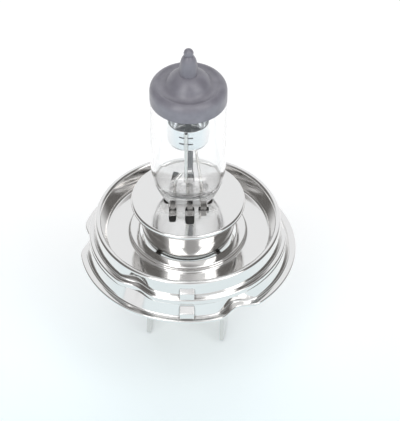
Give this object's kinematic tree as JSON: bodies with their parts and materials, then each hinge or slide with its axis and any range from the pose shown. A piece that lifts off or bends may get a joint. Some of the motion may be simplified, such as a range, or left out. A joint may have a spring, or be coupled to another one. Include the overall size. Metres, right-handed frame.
{
  "type": "halogen headlight bulb",
  "caption": "Twin-filament halogen headlight bulb: clear quartz tube with a grey-coated dome on a round two-step metal base with flat blade terminals.",
  "frame": {"origin": "on the bulb's axis at the level of the blade ends, under the middle of the base", "axes": "+Z along the bulb's axis towards the dome, -Y towards the side of the base that carries the two lugs"},
  "size_m": [0.045, 0.045, 0.0776],
  "materials": {
    "bright_steel": "polished",
    "spring_steel": "satin",
    "blade_metal": "bright",
    "clear_quartz": "clear",
    "grey_coat": "satin",
    "shield_metal": "satin",
    "lead_wire": "bright",
    "tungsten": "matte",
    "foil": "satin",
    "insulator": "matte"
  },
  "bodies": {
    "root": {"base_dish": "bright_steel", "holder_sleeve": "bright_steel", "pinch_clip": "spring_steel", "cap_shell": "bright_steel", "insulator": "insulator", "high_beam_terminal": "blade_metal", "low_beam_terminal": "blade_metal", "common_terminal": "blade_metal", "high_beam_foil": "foil", "low_beam_foil": "foil", "common_foil": "foil", "high_beam_outer_lead": "lead_wire", "low_beam_outer_lead": "lead_wire", "common_outer_lead": "lead_wire", "low_beam_shield": "shield_metal", "shield_support": "lead_wire", "low_beam_lead": "lead_wire", "high_beam_lead": "lead_wire", "low_beam_filament": "tungsten", "high_beam_filament": "tungsten", "glass_envelope": "clear_quartz", "glare_coat": "grey_coat"}
  },
  "joints": []
}
